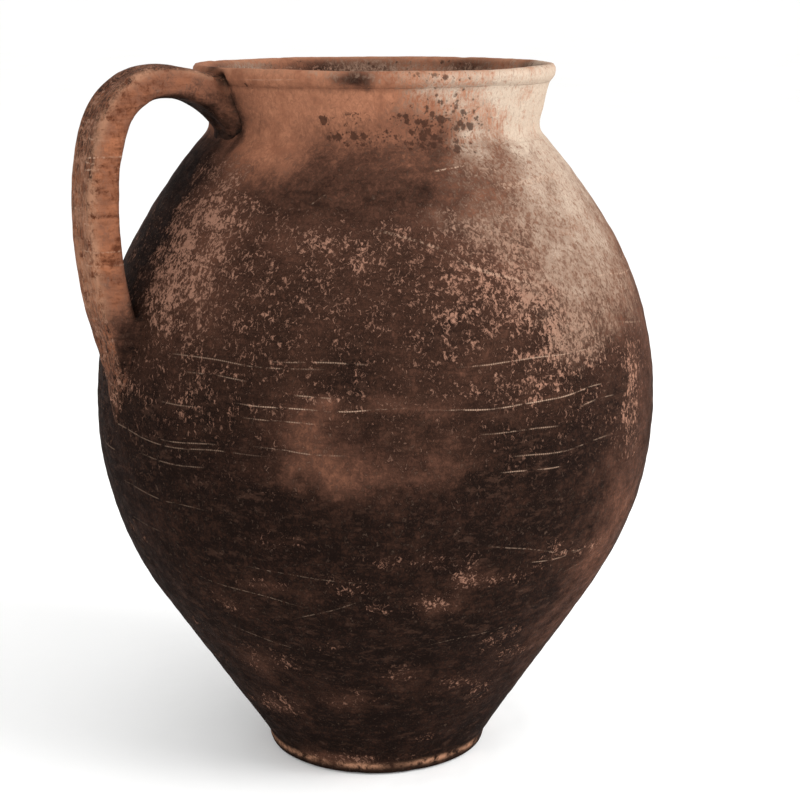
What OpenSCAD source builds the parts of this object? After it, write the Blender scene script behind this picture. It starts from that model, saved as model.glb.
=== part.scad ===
// Flower vase: a large one-handled earthenware jar, built up the way a potter builds it.
// Every clay member is made on its own, scored, slipped and luted to the next one.
// Origin: centre of the flat underside. +Z is up. The handle is towards -X, in the XZ plane.
// All sizes are in millimetres.

/* [Foot and floor] */
// Radius of the foot ring where it stands
foot_r = 54.3; // [52:0.1:56]
// Radius of the foot ring's outer side
collar_r = 57.3; // [56.5:0.1:59]
// Height of the foot ring
collar_h = 7; // [6:0.5:8]
// Thickness of the floor
floor_t = 10; // [9:0.5:12]
// Radius of the floor disc's underside
disc_r = 43; // [40:0.5:45]
// Size of the coil pressed into the corner inside
coil_r = 13; // [9:0.5:15]

/* [Wall] */
// Largest radius of the body
belly_r = 140.5; // [138:0.5:143]
// Height of the widest ring, where the two thrown halves meet
belly_z = 184; // [178:1:190]
// Radius of the curve that turns over the belly
belly_curve = 171; // [160:1:180]
// Angle above the belly at which the shoulder flattens
shoulder_angle = 31; // [28:0.5:34]
// Radius of the flatter shoulder curve
shoulder_curve = 291; // [260:1:320]
// Thickness of the wall
wall = 7.5; // [6.5:0.25:8.5]

/* [Neck and rim] */
// Radius of the neck at its narrowest
neck_r = 81.8; // [80:0.1:84]
// Radius of the hollow where the neck leaves the shoulder
neck_fillet = 8; // [6:0.5:10]
// Angle by which the neck opens upwards
neck_flare = 12.5; // [10:0.5:14]
// Thickness of the neck
neck_t = 6.5; // [6:0.25:7]
// Height of the joint under the rim band
rim_z = 341; // [339:0.5:342]
// Height of the whole jar at its rim
height = 350; // [349:0.5:351]
// Largest radius of the rim band
rim_r = 88.7; // [88.2:0.1:89.5]

/* [Handle] */
// Distance of the handle's crown from the jar's axis
crown_x = 114; // [112:0.5:116]
// Height of the middle of the strap at its crown
crown_z = 343.5; // [342:0.5:345]
// Width of the strap
strap_w = 32; // [28:0.5:34]
// Thickness of the strap
strap_t = 16.5; // [15:0.5:18]
// Radius of the strap's worn corners
strap_round = 6; // [4:0.5:7]
// Radius of the bend from the neck to the crown
root_bend = 48; // [46:0.5:52]
// Radius of the tight bend beyond the crown
crown_bend = 33; // [31:0.5:35]
// Length of the straight grip
grip_l = 25; // [20:0.5:30]
// Radius of the long bend down to the belly
tail_bend = 210; // [200:1:220]

/* [Luted joints] */
// Depth of the scored groove in the belly joint
score_d = 3; // [2:0.5:4]
// Step of the rebate in which the neck sits
seat_d = 3; // [2:0.5:3.5]
// Roundness of the smeared clay at the handle's ends
smear_r = 3; // [2:0.5:3.5]

/* [Hidden] */
$fn = 128;

fired_clay = [0.55, 0.36, 0.28];
dark_clay = [0.24, 0.16, 0.13];
bare_clay = [0.66, 0.45, 0.35];

step = 3.5;            // degrees between the points of a curve
far = 260;             // beyond the jar's side
below = -20;           // below the jar's foot
smear_fn = 24;         // facets of the smeared clay

// Angles through which the strap bends, from the crown into the neck and from the grip into the belly
root_turn = 58;
tail_turn = 28;

// Points of an arc round c, from angle a to angle b
function arc(c, r, a, b) =
    let (n = ceil(abs(b - a) / step))
    [for (i = [0 : n]) let (t = a + (b - a) * i / n) [c.x + r * cos(t), c.y + r * sin(t)]];

// Centres of the wall's curves, each one tangent to the last
belly_c = [belly_r - belly_curve, belly_z];
shoulder_c = belly_c + (belly_curve - shoulder_curve) * [cos(shoulder_angle), sin(shoulder_angle)];
hollow_x = neck_r + neck_fillet;
hollow_reach = hollow_x - shoulder_c.x;
hollow_c = [hollow_x, shoulder_c.y + sqrt(pow(shoulder_curve + neck_fillet, 2) - pow(hollow_reach, 2))];
hollow_angle = atan2(hollow_c.y - shoulder_c.y, hollow_reach);

// The cone under the belly runs from the foot ring's top and touches the belly curve
collar_top = [collar_r, collar_h];
to_collar = collar_top - belly_c;
cone_angle = atan2(to_collar.y, to_collar.x) + acos(belly_curve / norm(to_collar));

// Neck: where the flare starts and where it meets the rim joint
flare_start = hollow_c + neck_fillet * [-cos(neck_flare), sin(neck_flare)];
rim_joint_r = flare_start.x + (rim_z - flare_start.y) * tan(neck_flare);
neck_in = neck_r - neck_t;
rim_in = rim_joint_r - neck_t;
lip_drop = height - rim_z;

// Inside of the wall: the same curves, one wall thickness further in
inner_belly = belly_curve - wall;
inner_shoulder = shoulder_curve - wall;
inner_angle = acos((neck_in - shoulder_c.x) / inner_shoulder);
inner_cone_top = belly_c + inner_belly * [cos(cone_angle), sin(cone_angle)];
inner_floor = [inner_cone_top.x + (inner_cone_top.y - floor_t) * tan(cone_angle), floor_t];

function foot_points() = [
    [0, 0], [foot_r, 0], [foot_r + 1.3, 1], [foot_r + 2.1, 3], collar_top];
function wall_points() = concat(
    arc(belly_c, belly_curve, cone_angle, shoulder_angle),
    arc(shoulder_c, shoulder_curve, shoulder_angle + step, hollow_angle),
    arc(hollow_c, neck_fillet, 180 + hollow_angle - 2 * step, 180 - neck_flare));
function rim_points() = [
    [rim_joint_r, rim_z], [rim_r - 0.5, rim_z + lip_drop * 0.33], [rim_r, rim_z + lip_drop * 0.65],
    [rim_r - 0.5, height - 0.8], [rim_r - 1.6, height], [rim_r - 4, height],
    [rim_r - 6, height - 1.2], [rim_r - 7, height - 4]];

// Half section of the jar as if it were solid
module outline() {
    polygon(concat(foot_points(), wall_points(), rim_points(), [[0, height - 4]]));
}

// Half section of the hollow
module hollow() {
    polygon(concat(
        [[0, floor_t], inner_floor],
        arc(belly_c, inner_belly, cone_angle, shoulder_angle),
        arc(shoulder_c, inner_shoulder, shoulder_angle + step, inner_angle),
        [[neck_in, hollow_c.y], [rim_in, rim_z], [rim_r - 7, height - 4],
         [rim_r - 7, height + 1], [0, height + 1]]));
}

// Half section of the disc that closes the bottom, with a bevelled edge
module disc_section() {
    polygon([[0, 0], [disc_r, 0], [inner_floor.x, floor_t], [0, floor_t]]);
}

// The scored seams, each a line across the wall from the axis outwards
foot_mid = (inner_floor.x + collar_r) / 2;
foot_seam = [[0, collar_h], [foot_mid - 2, collar_h], [foot_mid, collar_h - 2],
             [foot_mid + 2, collar_h], [far, collar_h]];
belly_mid = belly_r - wall / 2;
belly_seam = [[0, belly_z], [belly_mid - 2, belly_z], [belly_mid, belly_z + score_d],
              [belly_mid + 2, belly_z], [far, belly_z]];
seat_z = hollow_c.y - neck_fillet * sin(hollow_angle) - 0.5;
seat_mid = neck_r - neck_t / 2 + 1.5;
neck_seam = [[0, seat_z + seat_d], [seat_mid, seat_z + seat_d], [seat_mid, seat_z], [far, seat_z]];
rim_mid = rim_joint_r - neck_t / 2;
rim_seam = [[0, rim_z], [rim_mid - 1.5, rim_z], [rim_mid, rim_z - 1.5], [rim_mid + 1.5, rim_z], [far, rim_z]];

module under(seam) {
    polygon(concat(seam, [[far, below], [0, below]]));
}

// Ring of wall between two seams
module wall_ring(low, high) {
    rotate_extrude() {
        difference() {
            intersection() {
                outline();
                under(high);
            }
            under(low);
            hollow();
            disc_section();
        }
    }
}

// The jar as a solid, for trimming what is luted to it
module jar_solid() {
    rotate_extrude() outline();
}

module base_disc() {
    color(bare_clay) rotate_extrude() disc_section();
}

module foot_ring() {
    color(bare_clay) rotate_extrude() {
        difference() {
            intersection() {
                outline();
                under(foot_seam);
            }
            disc_section();
        }
    }
}

module floor_coil() {
    reach = coil_r * tan(cone_angle);
    color(bare_clay) rotate_extrude() {
        polygon(concat(
            [inner_floor],
            [inner_floor + coil_r * [-tan(cone_angle), 1]],
            [for (i = [1 : 5]) let (t = i / 6)
                inner_floor + coil_r * [-tan(cone_angle) * pow(1 - t, 2) - pow(t, 2), pow(1 - t, 2)]],
            [inner_floor - [coil_r, 0]]));
    }
}

module lower_wall() {
    color(dark_clay) wall_ring(foot_seam, belly_seam);
}

module upper_wall() {
    color(dark_clay) wall_ring(belly_seam, neck_seam);
}

module neck() {
    color(fired_clay) wall_ring(neck_seam, rim_seam);
}

module rim_band() {
    color(fired_clay) rotate_extrude() {
        difference() {
            outline();
            under(rim_seam);
            hollow();
        }
    }
}

// Section of the pulled strap: flat faces and worn round corners
module strap_section() {
    flat_t = strap_t - 2 * strap_round;
    flat_w = strap_w - 2 * strap_round;
    square([strap_t, flat_w], center = true);
    square([flat_t, strap_w], center = true);
    for (i = [-1, 1], j = [-1, 1]) translate([i * flat_t / 2, j * flat_w / 2]) circle(strap_round);
}

// One bend of the strap round c in the handle's plane, from level outwards up through an angle
module bend(c, r, angle) {
    translate([c.x, c.y, 0]) rotate_extrude(angle = angle) translate([r, 0]) strap_section();
}

// Turns the handle's own plane into the jar's frame
module on_side() {
    mirror([1, 0, 0]) rotate([90, 0, 0]) children();
}

// The whole strap, its ends still running on into the wall
module strap() {
    crown_c = [crown_x, crown_z - crown_bend];
    grip_x = crown_x + crown_bend;
    grip_z = crown_c.y - grip_l;
    on_side() {
        translate([crown_x, crown_z - root_bend, 0]) rotate(90) bend([0, 0], root_bend, root_turn);
        bend(crown_c, crown_bend, 90);
        translate([grip_x, crown_c.y, 0]) rotate([90, 0, 0]) linear_extrude(grip_l) strap_section();
        translate([0, grip_z, 0]) mirror([0, 1, 0]) bend([grip_x - tail_bend, 0], tail_bend, tail_turn);
    }
}

module handle() {
    color(fired_clay) difference() {
        strap();
        jar_solid();
    }
}

// Clay smeared over a joint: one soft lump through points given as
// [distance from the axis, half width, height], less the strap and the wall it is pressed on
module smear(points) {
    difference() {
        hull() {
            for (p = points, side = [-1, 1])
                translate([-p.x, side * p.y, p.z]) sphere(smear_r, $fn = smear_fn);
        }
        strap();
        jar_solid();
    }
}

module handle_top_joint() {
    color(fired_clay) smear([
        [crown_x - 32, strap_w / 2 + 5, crown_z - 23],
        [crown_x - 30, strap_w / 2 + 3, crown_z - 5],
        [crown_x - 12, strap_w / 2 - 2, crown_z - 8],
        [crown_x - 14, strap_w / 2 - 2, crown_z + 1]]);
}

module handle_bottom_joint() {
    color(dark_clay) smear([
        [belly_r - 14, strap_w / 2 - 1, belly_z + 62],
        [belly_r - 3, strap_w / 2 - 2, belly_z + 58],
        [belly_r + 1, strap_w / 2 - 2, belly_z + 36],
        [belly_r - 10, strap_w / 2 + 3, belly_z + 34],
        [belly_r - 2, 8, belly_z + 12],
        [belly_r - 1.5, 3, belly_z - 3]]);
}

base_disc();
foot_ring();
floor_coil();
lower_wall();
upper_wall();
neck();
rim_band();
handle();
handle_top_joint();
handle_bottom_joint();
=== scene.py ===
# %% [markdown]
# # A one-handled earthenware jar
#
# This lesson builds the looks of a big terracotta jar that serves as a flower vase. A potter makes
# such a jar from separate clay members: a disc and a ring for the foot, two thrown walls, a neck, a
# rolled rim and a pulled strap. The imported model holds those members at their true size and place.
# Here each one gets the surface that hands, fire and long use gave it.
#
# Everything is in metres, in the jar's own frame: +Z is up and the handle is towards -X.

# %% Load the frame
import math

import bpy
import numpy as np
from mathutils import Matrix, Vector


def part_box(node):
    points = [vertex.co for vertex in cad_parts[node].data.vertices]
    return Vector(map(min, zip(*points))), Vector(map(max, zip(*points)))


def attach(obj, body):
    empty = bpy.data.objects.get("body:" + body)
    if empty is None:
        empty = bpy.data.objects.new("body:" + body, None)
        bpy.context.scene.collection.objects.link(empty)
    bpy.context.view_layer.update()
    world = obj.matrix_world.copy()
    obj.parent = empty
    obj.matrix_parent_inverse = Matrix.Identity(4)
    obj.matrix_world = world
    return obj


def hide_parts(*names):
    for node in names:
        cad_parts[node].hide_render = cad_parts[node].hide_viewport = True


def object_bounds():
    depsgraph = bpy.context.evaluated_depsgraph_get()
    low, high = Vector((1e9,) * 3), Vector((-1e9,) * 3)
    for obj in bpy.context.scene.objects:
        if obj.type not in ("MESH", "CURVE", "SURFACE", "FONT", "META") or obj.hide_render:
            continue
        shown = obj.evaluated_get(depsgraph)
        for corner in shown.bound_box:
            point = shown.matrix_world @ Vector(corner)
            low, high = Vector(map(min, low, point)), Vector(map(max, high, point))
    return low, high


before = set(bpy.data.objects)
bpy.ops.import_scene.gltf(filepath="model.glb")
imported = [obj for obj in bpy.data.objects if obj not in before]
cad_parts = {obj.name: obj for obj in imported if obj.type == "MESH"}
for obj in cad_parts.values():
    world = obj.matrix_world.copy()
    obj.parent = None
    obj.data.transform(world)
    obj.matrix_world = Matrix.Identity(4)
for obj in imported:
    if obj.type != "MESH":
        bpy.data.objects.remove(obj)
cad_low, cad_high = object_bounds()
print("CAD box", [round(v, 4) for v in cad_low], [round(v, 4) for v in cad_high])

# %% [markdown]
# ## The camera comes first
#
# The jar is seen from a little above its rim, from about one metre, through a longish lens, and the
# handle turns a little towards us. The camera's height and distance are set against the jar's own
# height, so that the view follows the frame.

# %% Camera
JAR_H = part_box("rim_band")[1].z
VIEW_TURN = math.radians(-29)
VIEW_PITCH = math.radians(12.82)
VIEW_YAW = math.radians(0.784)
VIEW_BACK = 2.584 * JAR_H
VIEW_UP = 1.1036 * JAR_H

camera_data = bpy.data.cameras.new("camera")
camera_data.lens = 81.98
camera_data.sensor_width = 36
camera = bpy.data.objects.new("camera", camera_data)
bpy.context.scene.collection.objects.link(camera)
camera.location = (VIEW_BACK * math.sin(VIEW_TURN), -VIEW_BACK * math.cos(VIEW_TURN), VIEW_UP)
camera.rotation_euler = (math.pi / 2 - VIEW_PITCH, 0, VIEW_TURN - VIEW_YAW)
bpy.context.scene.camera = camera
print("camera at", [round(v, 3) for v in camera.location])

# %% [markdown]
# ## The section of the jar
#
# A thrown pot is a section turned round an axis. The section could be drawn point by point, but a
# potter's curve is simpler than that: a straight cone that rises from the foot, one long arc over the
# belly, a flatter arc over the shoulder, a small hollow, and a short flare. Each arc starts where the
# last one ends and has the same direction there, so the centres follow from the radii.

# %% Measures of the section
MM = 0.001
FOOT_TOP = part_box("foot_ring")[1].z
COLLAR_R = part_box("foot_ring")[1].y
BELLY_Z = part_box("upper_wall")[0].z
BELLY_R = cad_high.y
SEAT_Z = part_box("neck")[0].z
RIM_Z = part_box("neck")[1].z
RIM_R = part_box("rim_band")[1].y
FLOOR_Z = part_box("base_disc")[1].z
DISC_R = 43 * MM
BELLY_CURVE = 171 * MM
SHOULDER_CURVE = 291 * MM
SHOULDER_ANGLE = 31
NECK_R = 81.8 * MM
NECK_HOLLOW = 8 * MM
NECK_FLARE = 12.5
WALL = 7.5 * MM
NECK_WALL = 6.5 * MM


def polar(angle):
    """The unit vector at an angle in degrees."""
    return np.array([math.cos(math.radians(angle)), math.sin(math.radians(angle))])


def full_turn(count):
    """Angles once round, evenly spaced, as one row."""
    return np.linspace(0, 2 * math.pi, count, endpoint=False)[None, :]


def spin(radius, turn, height):
    """Points at a distance from the axis, a turn in radians and a height. A direction turns too."""
    return np.stack([radius * np.cos(turn), radius * np.sin(turn), height + 0 * turn], -1)


def arc(centre, radius, start, end, count=60):
    """Points of a circle: the centre plus the radius times (cos, sin) of evenly spaced degrees."""
    turn = np.radians(np.linspace(start, end, count))
    return np.stack([centre[0] + radius * np.cos(turn), centre[1] + radius * np.sin(turn)], -1)


def section():
    """The jar's skin as one line of (radius, height): under the foot, up the outside, over the rim,
    and down the inside to the floor."""
    belly = np.array([BELLY_R - BELLY_CURVE, BELLY_Z])
    shoulder = belly + (BELLY_CURVE - SHOULDER_CURVE) * polar(SHOULDER_ANGLE)
    reach = NECK_R + NECK_HOLLOW - shoulder[0]
    rise = math.sqrt((SHOULDER_CURVE + NECK_HOLLOW) ** 2 - reach**2)
    hollow = shoulder + np.array([reach, rise])
    hollow_angle = math.degrees(math.atan2(rise, reach))
    collar = np.array([COLLAR_R, FOOT_TOP])
    to_collar = collar - belly
    cone = math.degrees(math.atan2(to_collar[1], to_collar[0]))
    cone += math.degrees(math.acos(BELLY_CURVE / np.hypot(*to_collar)))
    flare = hollow + NECK_HOLLOW * np.array([-1, 1]) * polar(NECK_FLARE)
    under_rim = flare[0] + (RIM_Z - flare[1]) * math.tan(math.radians(NECK_FLARE))
    rim = np.array([RIM_R, RIM_Z])
    roll = [(-2.7, -0.2), (-1.5, 1.2), (-0.5, 2.8), (-0.05, 5.4), (-0.4, 7.6), (-1.7, 8.9),
            (-4.2, 8.8), (-6.1, 7.4), (-7.1, 4.6)]
    mouth_reach = (NECK_R - NECK_WALL - shoulder[0]) / (SHOULDER_CURVE - WALL)
    inner_shoulder = math.degrees(math.acos(mouth_reach))
    foot_edge = [(-4.4, 0), (-1.9, 0.9), (-0.9, 3)]
    inner_cone = belly + (BELLY_CURVE - WALL) * polar(cone)
    lean = math.tan(math.radians(cone))
    floor_edge = (inner_cone[0] + (inner_cone[1] - FLOOR_Z) * lean, FLOOR_Z)
    outside = [
        [(DISC_R, 0)],
        (COLLAR_R, 0) + MM * np.array(foot_edge),
        [collar],
        arc(belly, BELLY_CURVE, cone, SHOULDER_ANGLE),
        arc(shoulder, SHOULDER_CURVE, SHOULDER_ANGLE + 0.3, hollow_angle - 0.2),
        arc(hollow, NECK_HOLLOW, 180 + hollow_angle, 180 - NECK_FLARE, 12),
        [(under_rim, RIM_Z - 0.3 * MM)],
        rim + MM * np.array(roll),
    ]
    inside = [
        [(under_rim - NECK_WALL, RIM_Z), (NECK_R - NECK_WALL, hollow[1])],
        arc(shoulder, SHOULDER_CURVE - WALL, inner_shoulder, SHOULDER_ANGLE + 0.3),
        arc(belly, BELLY_CURVE - WALL, SHOULDER_ANGLE, cone),
        [floor_edge],
    ]
    return np.concatenate([np.array(part, float) for part in outside + inside])


def even(line, step):
    """The same line with points a fixed step apart along it."""
    along = np.r_[0, np.cumsum(np.hypot(*np.diff(line, axis=0).T))]
    marks = np.linspace(0, along[-1], int(along[-1] / step) + 2)
    return np.stack([np.interp(marks, along, line[:, k]) for k in (0, 1)], -1)


def soften(line, reach):
    """Rounds corners: each point becomes the mean of its neighbours within reach points, twice."""
    window = np.ones(2 * reach + 1) / (2 * reach + 1)
    for _ in range(2):
        ends = np.concatenate([np.repeat(line[:1], reach, 0), line, np.repeat(line[-1:], reach, 0)])
        line = np.stack([np.convolve(ends[:, k], window, "valid") for k in (0, 1)], -1)
    return line


FINE_STEP = 0.1 * MM
SKIN = soften(even(section(), FINE_STEP), 5)
SLOPE = np.gradient(SKIN, axis=0)
OUTWARD = np.stack([SLOPE[:, 1], -SLOPE[:, 0]], -1)
OUTWARD /= np.linalg.norm(OUTWARD, axis=1)[:, None]
CREST = int(np.argmax(SKIN[:, 1]))
WIDEST, TOP = SKIN.max(0)
print("section:", len(SKIN), "points, widest", round(WIDEST, 4), "top", round(TOP, 4))


# %% [markdown]
# ## What hands and fire do to a true shape
#
# A turned surface is too perfect. Real clay has slow dents from the hands that lifted it, a faint
# spiral from the throwing, dings from use, and drips where slip ran down the neck. One way is to
# sculpt them. Here they are sums of sine waves in many directions, worked out for whole arrays, so
# that neighbouring members get the same offset at their joint and no seam shows.

# %% Unevenness of clay
def waves(points, size, count, seed):
    """A smooth random height with a spread of about 1: the sum of sine waves that run in random
    directions, each with a length within a third of size and a random start."""
    draw = np.random.default_rng(seed)
    direction = draw.normal(size=(count, 3))
    direction /= np.linalg.norm(direction, axis=1)[:, None]
    pitch = 2 * math.pi / (size * draw.uniform(0.7, 1.35, count))
    start = draw.uniform(0, 2 * math.pi, count)
    return np.sin(points @ (direction * pitch[:, None]).T + start).sum(-1) * math.sqrt(2 / count)


def dings(points, places, sizes, depths):
    """Shallow round hollows: at each place a bell curve of that size and depth."""
    total = np.zeros(points.shape[:-1])
    for place, size, depth in zip(places, sizes, depths):
        away = ((points - place) ** 2).sum(-1) / size**2
        total += depth * np.exp(-away)
    return total


def wall_radius(height):
    """The outside's distance from the axis at a height."""
    return np.interp(height, SKIN[:CREST, 1], SKIN[:CREST, 0])


def skin_point(turn, height):
    """The point on the outside of the wall at a turn in degrees and a height."""
    return spin(wall_radius(height), np.radians(turn), height)


DINGS = 90
draw = np.random.default_rng(11)
DING_TURN = draw.uniform(0, 360, DINGS)
DING_HEIGHT = draw.uniform(10, 345, DINGS) * MM
DING_PLACE = skin_point(DING_TURN, DING_HEIGHT)
DING_SIZE = draw.uniform(2.2, 5.5, DINGS) * MM
DING_DEPTH = draw.uniform(0.12, 0.5, DINGS) * MM
# Turn in degrees, height, size and depth in mm. The first is a pinhole beside the handle.
CHIPS = [(186.4, 343.8, 3.4, 3.6), (206, 349.5, 2.2, 0.4), (318, 349, 2.6, 0.5), (28, 349.8, 3.6, 0.4),
         (97, 350, 2.4, 0.3), (131, 349, 3.2, 0.4), (262, 1.5, 3.0, 1.0), (231, 1.0, 2.4, 0.9),
         (40, 1.5, 3.4, 1.2), (120, 1.2, 2.8, 1.0), (325, 1.0, 3.0, 0.9)]
chip_turn, chip_height, chip_size, chip_depth = np.array(CHIPS).T
CHIP_PLACE = skin_point(chip_turn, chip_height * MM)
CHIP_SIZE = chip_size * MM
CHIP_DEPTH = chip_depth * MM
SPIRAL_PITCH = 7.3 * MM
print(DINGS, "dings and", len(CHIPS), "chips")


def hollow_depth(points, inside):
    """How far the clay lies under the true surface: slow dents, fine lumps, the throwing spiral
    (deeper on the inside), drips on the neck, dings and chips. It is never less than zero, and small
    where the jar stands."""
    x, y, z = np.moveaxis(points, -1, 0)
    turn = np.arctan2(y, x)
    slow = 0.30 * waves(points, 75 * MM, 26, 1)
    lumps = 0.07 * waves(points, 17 * MM, 30, 2)
    spiral = np.sin(2 * math.pi * z / SPIRAL_PITCH + turn + 1.3 * np.sin(z / (29 * MM)))
    spiral = (0.05 + 0.4 * inside) * spiral
    on_neck = np.clip((z - SEAT_Z) / (8 * MM), 0, 1) * (1 - inside)
    run = points * np.array([1, 1, 0.07])
    drips = 0.05 * on_neck * waves(run, 5.5 * MM, 30, 3)
    depth = (0.75 + slow + lumps + spiral + drips) * MM
    depth = depth * (1 - 0.5 * np.clip((z - 338 * MM) / (8 * MM), 0, 1))
    depth += dings(points, DING_PLACE, DING_SIZE, DING_DEPTH) * (1 - inside)
    depth += dings(points, CHIP_PLACE, CHIP_SIZE, CHIP_DEPTH)
    foot = np.clip(z / (12 * MM), 0, 1)
    return np.clip(depth, 0, None) * (0.25 + 0.75 * foot)


# %% [markdown]
# ## Where the colour has worn, and where light and shade are painted
#
# The jar was coated and smoked dark, then rubbed back. The wear isn't even: the shoulder by the handle
# is rubbed to a reddish speckle, the neck and shoulder on the lamp's side are pale, partly a chalky
# bloom and partly painted light, and the lower wall is nearly black with small bare patches. A few
# patches are
# painted shade instead of soot: a painted shadow on the wall under the handle, and the pinhole beside
# the handle painted black. A texture painted by hand would need an image, so the wear is a list of soft
# patches instead. Each patch is a bell curve in the turn round the jar and the height, and the shader
# later breaks its edge into grain.

# %% Patches of wear
LAYERS = ("smoke_and_shade", "worn", "bloom_and_highlight", "spot", "rub_and_highlight")

# Each row is: turn round the jar in degrees (the handle is at 180), height in mm, reach in degrees,
# reach in mm, amount. A negative amount takes smoke away.
# The first row is a painted shadow: it darkens the wall under the handle, where the handle shades it.
SMOKE_AND_SHADE = [
    # The second row paints the pinhole beside the handle black: painted shade in the hole. The row at
    # 181 degrees and 349.6 mm darkens the rim's top beside the handle.
    (173, 286, 13, 40, 0.4), (186.4, 344, 2.9, 3.8, 0.95), (190, 335, 1.5, 8, 0.4),
    (191, 324, 2.4, 8, 0.5), (181, 349.6, 4, 2.4, 0.7), (192, 327, 3.4, 13, 0.3),
    (197, 330, 5, 15, 0.14), (204, 312, 13, 12, -0.5), (196, 262, 13, 40, -0.08),
    (232, 300, 22, 9, 0.05), (248, 327, 9, 7, 0.25), (262, 322, 8, 9, 0.25),
    (266, 293, 8, 9, -0.15), (253, 296, 4, 6, 0.1), (229, 195, 7.5, 17, -0.4),
    (231.5, 210.5, 2.4, 3, -0.25), (243, 209.5, 5, 5, -0.2), (251, 207, 5, 5, -0.14),
    (238, 178, 18, 7.5, -0.34), (241, 167, 10, 8, -0.16), (247, 190, 12, 9, -0.17),
    (262, 215, 12, 20, -0.08), (298, 284, 24, 42, -0.34), (318, 226, 20, 56, -0.2),
    (234.8, 345.8, 5.2, 3.9, 0.85), (304, 150, 17, 34, -0.26), (300, 96, 17, 46, -0.27),
    (275, 40, 16, 30, -0.05), (207, 45, 16, 20, -0.04), (231, 52, 10, 8, -0.14),
    (210, 110, 16, 16, -0.05), (216, 9, 24, 5, -0.3), (205, 70, 8, 10, -0.15),
    (255, 113, 7, 6, -0.18), (262, 125, 8, 5, -0.16), (250, 68, 8, 7, -0.12),
    (200, 40, 9, 6, -0.12), (268, 60, 8, 6, -0.12), (220, 120, 8, 5, -0.1),
    (20, 310, 30, 14, -0.3), (60, 215, 34, 30, -0.3), (112, 130, 26, 36, -0.2),
    (350, 70, 22, 30, -0.2), (95, 300, 26, 16, 0.1), (140, 320, 12, 16, 0.4),
    (120, 335, 10, 7, 0.35), (30, 250, 20, 26, -0.25),
]
WORN = [
    (194, 270, 12, 36, 0.7), (188, 300, 9, 11, 0.5), (202, 290, 10, 12, 0.4),
    (228, 274, 20, 10, 0.3), (216, 245, 26, 18, 0.16), (262, 262, 12, 30, 0.32),
    (278, 256, 12, 34, 0.5), (284, 232, 8, 20, 0.4), (272, 213, 6, 10, 0.36),
    (231, 211, 4, 4, 0.25), (303, 208, 4.5, 14, 0.55), (300, 186, 6, 14, 0.42),
    (303, 170, 3, 5, 0.4), (259, 129, 2.6, 8, 0.7), (254, 112, 6, 6, 0.7), (265, 123, 8, 4, 0.5),
    (279, 131, 5, 9, 0.5), (293, 128, 8, 4, 0.62), (235, 124, 5, 5, 0.42), (246, 137, 7, 4, 0.4),
    (215, 76, 5, 6, 0.5), (208, 107, 5, 6, 0.45), (207, 45, 8, 8, 0.45), (232, 53, 11, 7, 0.46),
    (281, 72, 8, 6, 0.45), (278, 50, 5, 9, 0.42), (262, 24, 5, 3, 0.4), (242, 112, 3, 3, 0.45),
    (217, 122, 5, 4, 0.5), (205, 71, 7, 11, 0.5), (248, 70, 6, 6, 0.42), (200, 40, 9, 5, 0.46),
    (266, 60, 9, 6, 0.38), (222, 146, 6, 4, 0.36), (273, 86, 6, 7, 0.42), (229, 88, 4, 4, 0.36),
    (186, 84, 8, 8, 0.3), (190, 36, 14, 4, 0.3), (222, 9, 30, 5, 0.62), (182, 207, 6, 8, 0.45),
    (204, 205, 8, 12, 0.2), (180, 130, 8, 5, 0.3), (183, 62, 10, 4, 0.3), (20, 255, 30, 35, 0.5),
    (75, 270, 26, 30, 0.4), (130, 262, 18, 30, 0.5), (45, 120, 9, 7, 0.45), (88, 84, 10, 6, 0.4),
    (340, 110, 8, 9, 0.45), (350, 40, 12, 6, 0.4), (110, 52, 12, 8, 0.4), (15, 170, 7, 12, 0.45),
    (142, 155, 9, 9, 0.4), (70, 170, 12, 6, 0.3),
]
# Chalky bloom. The large rows on the lamp's side of the neck and shoulder are partly painted light:
# their pale stands in for the light on that side.
BLOOM_AND_HIGHLIGHT = [
    (314, 338, 46, 24, 1.0), (318, 336, 36, 24, 0.8), (268, 337, 14, 12, 0.45),
    (256, 348, 26, 5, 0.4), (278, 312, 14, 14, 0.12), (308, 300, 28, 28, 0.7),
    (294, 268, 20, 26, 0.5), (284, 236, 8, 18, 0.3), (310, 254, 16, 24, 0.22),
    (268, 284, 10, 14, 0.2), (338, 318, 22, 24, 0.6), (350, 265, 14, 22, 0.35),
    (60, 335, 22, 14, 0.4),
]
SPOT = [
    (225.5, 327.5, 3.0, 2.6, 0.9), (235, 330, 3.4, 2.4, 0.8), (248, 328.5, 3.6, 2.4, 0.8),
    (230.5, 320, 3.6, 4.4, 0.85), (237, 318.5, 5.0, 3.4, 0.8), (245, 321, 3.4, 3.0, 0.7),
    (255, 323, 4.0, 4.0, 0.7), (261, 325, 4.4, 4.0, 0.8), (258, 317, 7.0, 3.4, 0.8),
    (266, 333, 2.6, 3.4, 0.75), (273, 326, 3.4, 5.0, 0.7), (269, 316, 7.0, 5.0, 0.7),
    (250, 321, 26, 9, 0.45), (268, 329, 14, 10, 0.5), (260, 332, 14, 11, 0.3),
    (256, 346, 10, 3, 0.4), (200, 341, 3, 5, 0.6), (78, 326, 6, 5, 0.8),
    (300, 349, 40, 2.4, 0.36), (264, 347, 16, 3, 0.36), (30, 342, 8, 5, 0.7),
    (120, 330, 12, 8, 0.5), (345, 322, 9, 6, 0.6),
]
print("patches:", *(len(rows) for rows in (SMOKE_AND_SHADE, WORN, BLOOM_AND_HIGHLIGHT, SPOT)))


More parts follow.
